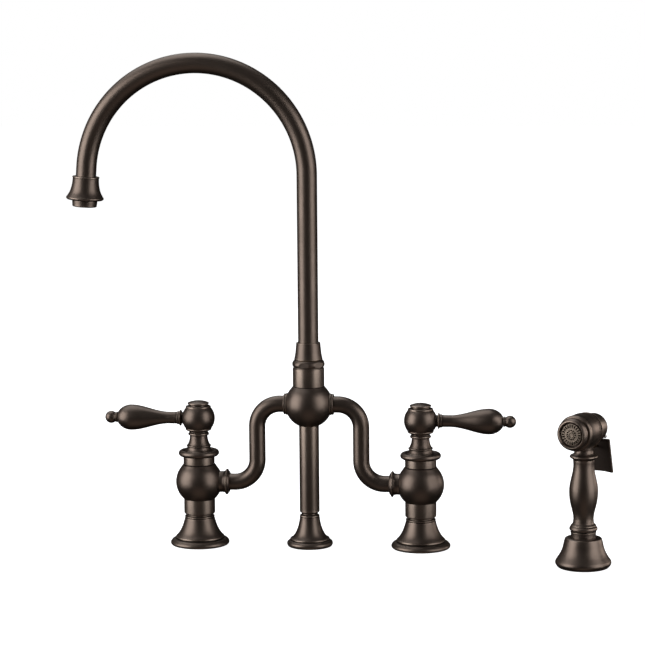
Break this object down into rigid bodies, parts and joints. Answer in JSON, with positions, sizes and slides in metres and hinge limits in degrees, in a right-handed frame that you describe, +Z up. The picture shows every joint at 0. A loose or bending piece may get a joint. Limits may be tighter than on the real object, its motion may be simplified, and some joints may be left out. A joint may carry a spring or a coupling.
{
  "type": "two handle kitchen faucet",
  "caption": "Bridge kitchen faucet with a gooseneck swivel spout on a ball hub, lever handles on turned valves, and a lift-off side sprayer in a flared holder.",
  "frame": {"origin": "centre of the middle foot's underside, on the sink deck", "axes": "+X along the bridge to the right valve, -Y towards the user, +Z up"},
  "size_m": [0.495, 0.1199, 0.4485],
  "materials": {
    "bronze": "satin oil-rubbed bronze over brass",
    "bronze_dark": "darker satin oil-rubbed bronze",
    "brass": "machined, hidden inside",
    "steel": "bare stainless steel",
    "cartridge": "ceramic disc cartridge housing",
    "plastic": "moulded acetal",
    "rubber": "smooth"
  },
  "bodies": {
    "deck_fittings": {"left_base_flange": "bronze", "left_inlet_shank": "brass", "left_neck_sleeve": "bronze", "left_valve_body": "bronze", "left_cartridge": "cartridge", "left_bonnet_ring": "bronze", "left_stem_cover": "bronze", "left_union_nut": "bronze", "left_bridge_tube": "bronze", "left_hub_collar": "bronze", "right_base_flange": "bronze", "right_inlet_shank": "brass", "right_neck_sleeve": "bronze", "right_valve_body": "bronze", "right_cartridge": "cartridge", "right_bonnet_ring": "bronze", "right_stem_cover": "bronze", "right_union_nut": "bronze", "right_bridge_tube": "bronze", "right_hub_collar": "bronze", "centre_flange": "bronze", "support_tube": "bronze", "hub_body": "bronze", "swivel_bush": "plastic", "ring_nut": "bronze", "holder_flange": "bronze", "holder_guide": "bronze"},
    "left_handle": {"left_spindle": "brass", "left_handle_hub": "bronze", "left_handle_screw": "steel", "left_cap": "bronze", "left_lever": "bronze", "left_finial": "bronze"},
    "right_handle": {"right_spindle": "brass", "right_handle_hub": "bronze", "right_handle_screw": "steel", "right_cap": "bronze", "right_lever": "bronze", "right_finial": "bronze"},
    "spout": {"spout_spigot": "brass", "o_ring_lower": "rubber", "o_ring_upper": "rubber", "spout_sleeve": "bronze", "spout_tube": "bronze", "outlet_bell": "bronze", "aerator_shell": "bronze", "aerator_insert": "plastic"},
    "handset": {"spray_handle": "bronze", "spray_neck": "bronze", "head_body": "bronze", "nozzle_ring": "bronze", "spray_face": "bronze_dark", "rear_cap": "bronze", "lever_pin": "steel", "plunger_spring": "steel", "hose_ferrule": "brass"},
    "lever_plate": {"thumb_lever": "bronze_dark"},
    "valve_plunger": {"plunger": "steel"}
  },
  "joints": [
    {"name": "left_handle_turn", "type": "hinge", "parent": "deck_fittings", "child": "left_handle", "pos_m": [-0.1016, 0, 0.105], "axis": [0, 0, 1], "range_deg": [0, 90]},
    {"name": "right_handle_turn", "type": "hinge", "parent": "deck_fittings", "child": "right_handle", "pos_m": [0.1016, 0, 0.105], "axis": [0, 0, 1], "range_deg": [-90, 0]},
    {"name": "spout_swivel", "type": "hinge", "parent": "deck_fittings", "child": "spout", "pos_m": [0, 0, 0.165], "axis": [0, 0, 1], "range_deg": [-180, 180]},
    {"name": "handset_lift", "type": "slide", "parent": "deck_fittings", "child": "handset", "axis": [0, 0, 1], "range_m": [0, 0.12]},
    {"name": "lever_press", "type": "hinge", "parent": "handset", "child": "lever_plate", "pos_m": [0.25997, -0.04361, 0.1133], "axis": [-0.9063, 0.4226, 0], "range_deg": [0, 14], "stiffness_Nm_per_rad": 0.25, "springref_deg": -5.73},
    {"name": "plunger_travel", "type": "slide", "parent": "handset", "child": "valve_plunger", "axis": [-0.4226, -0.9063, 0], "range_m": [0, 0.0025]}
  ],
  "couplings": [
    {"joint": "plunger_travel", "follows": "lever_press", "m_per_rad": 0.01}
  ]
}
